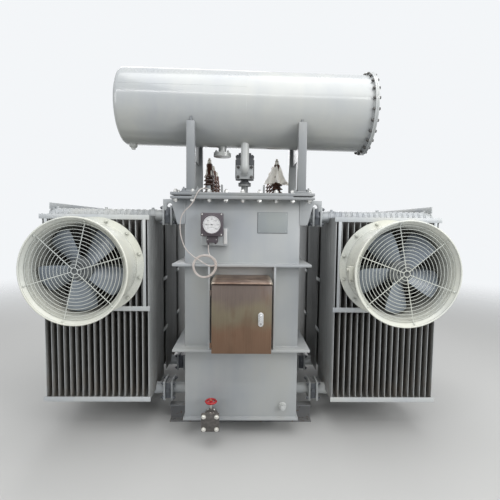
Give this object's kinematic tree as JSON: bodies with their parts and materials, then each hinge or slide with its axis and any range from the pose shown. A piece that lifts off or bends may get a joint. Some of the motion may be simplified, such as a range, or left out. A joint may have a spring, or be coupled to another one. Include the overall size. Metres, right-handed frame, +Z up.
{
  "type": "oil-filled power transformer with plate radiators and fans",
  "caption": "Oil-filled power transformer: narrow steel tank on cross channels, plate radiators with fans on both sides, cylindrical conservator on top, control cabinet in front.",
  "frame": {"origin": "on the ground, under the middle of the whole transformer's box", "axes": "+Z up, +X along the conservator towards its level gauge, -Y out of the front with the cabinet door"},
  "size_m": [3.066, 2.3156, 2.7873],
  "materials": {
    "tank_paint": "semi-gloss light grey enamel",
    "radiator_paint": "satin light grey dip paint",
    "fan_paint": "semi-gloss pale grey enamel",
    "guard_wire": "pale grey coated wire",
    "dark_casting": "dark painted casting",
    "cabinet_steel": "polished stainless sheet with a warm cast",
    "bright_steel": "plain steel",
    "porcelain": "brown glazed porcelain",
    "gasket_rubber": "black rubber",
    "wheel_red": "red enamel",
    "thermometer_case": "dark grey case with a glazed white dial",
    "gauge_case": "cream-white painted case",
    "capillary_sleeve": "off-white sleeve",
    "film": "cloudy wrapping film",
    "plate_metal": "plain plate, bare of text"
  },
  "bodies": {
    "transformer": {"base_channel_front": "tank_paint", "base_channel_rear": "tank_paint", "bushing_film": "film", "cabinet_body": "cabinet_steel", "cabinet_rib_left": "tank_paint", "cabinet_rib_right": "tank_paint", "cabinet_roof": "cabinet_steel", "capillary_coil": "capillary_sleeve", "capillary_down": "capillary_sleeve", "capillary_up": "capillary_sleeve", "conservator_end_cover": "tank_paint", "conservator_shell": "tank_paint", "conservator_support_left": "tank_paint", "conservator_support_right": "tank_paint", "cover_gasket": "gasket_rubber", "drain_valve": "dark_casting", "fan_guard_left": "guard_wire", "fan_guard_right": "guard_wire", "fan_motor_left": "fan_paint", "fan_motor_right": "fan_paint", "fan_shroud_left": "fan_paint", "fan_shroud_right": "fan_paint", "gas_relay": "dark_casting", "high_voltage_bushing_1": "porcelain", "high_voltage_bushing_2": "porcelain", "high_voltage_bushing_3": "porcelain", "lifting_lug_front_left": "tank_paint", "lifting_lug_front_right": "tank_paint", "lifting_lug_rear_left": "tank_paint", "lifting_lug_rear_right": "tank_paint", "low_voltage_bushing_1": "porcelain", "low_voltage_bushing_2": "porcelain", "low_voltage_bushing_3": "porcelain", "lower_band": "tank_paint", "name_plate": "plate_metal", "oil_level_gauge": "gauge_case", "oil_thermometer": "thermometer_case", "radiator_frame_left": "radiator_paint", "radiator_frame_right": "radiator_paint", "radiator_left_1": "radiator_paint", "radiator_left_2": "radiator_paint", "radiator_left_3": "radiator_paint", "radiator_right_1": "radiator_paint", "radiator_right_2": "radiator_paint", "radiator_right_3": "radiator_paint", "radiator_tie_bar_left": "tank_paint", "radiator_tie_bar_right": "tank_paint", "relay_pipe": "tank_paint", "sampling_valve": "tank_paint", "tank_cover": "tank_paint", "tank_rim_flange": "tank_paint", "tank_shell": "tank_paint", "thermometer_bracket": "tank_paint", "upper_band": "tank_paint"},
    "fan_rotor_left": {"fan_rotor_left": "fan_paint"},
    "fan_rotor_right": {"fan_rotor_right": "fan_paint"},
    "cabinet_door": {"cabinet_door": "cabinet_steel"},
    "cabinet_handle": {"cabinet_handle": "bright_steel"},
    "drain_handwheel": {"drain_handwheel": "wheel_red"}
  },
  "joints": [
    {"name": "fan_left_spin", "type": "hinge", "parent": "transformer", "child": "fan_rotor_left", "pos_m": [-1.0795, -1.0001, 1.305], "axis": [0, 1, 0], "continuous": true},
    {"name": "fan_right_spin", "type": "hinge", "parent": "transformer", "child": "fan_rotor_right", "pos_m": [1.0795, -1.0001, 1.305], "axis": [0, 1, 0], "continuous": true},
    {"name": "cabinet_door_hinge", "type": "hinge", "parent": "transformer", "child": "cabinet_door", "pos_m": [-0.2095, -1.0595, 0.98], "axis": [0, 0, -1], "range_deg": [0, 110]},
    {"name": "cabinet_handle_turn", "type": "hinge", "parent": "cabinet_door", "child": "cabinet_handle", "pos_m": [0.129, -1.0738, 0.957], "axis": [0, 1, 0], "range_deg": [0, 90]},
    {"name": "drain_wheel_turn", "type": "hinge", "parent": "transformer", "child": "drain_handwheel", "pos_m": [-0.217, -0.8962, 0.322], "axis": [0, 0, 1], "range_deg": [0, 1350]}
  ]
}
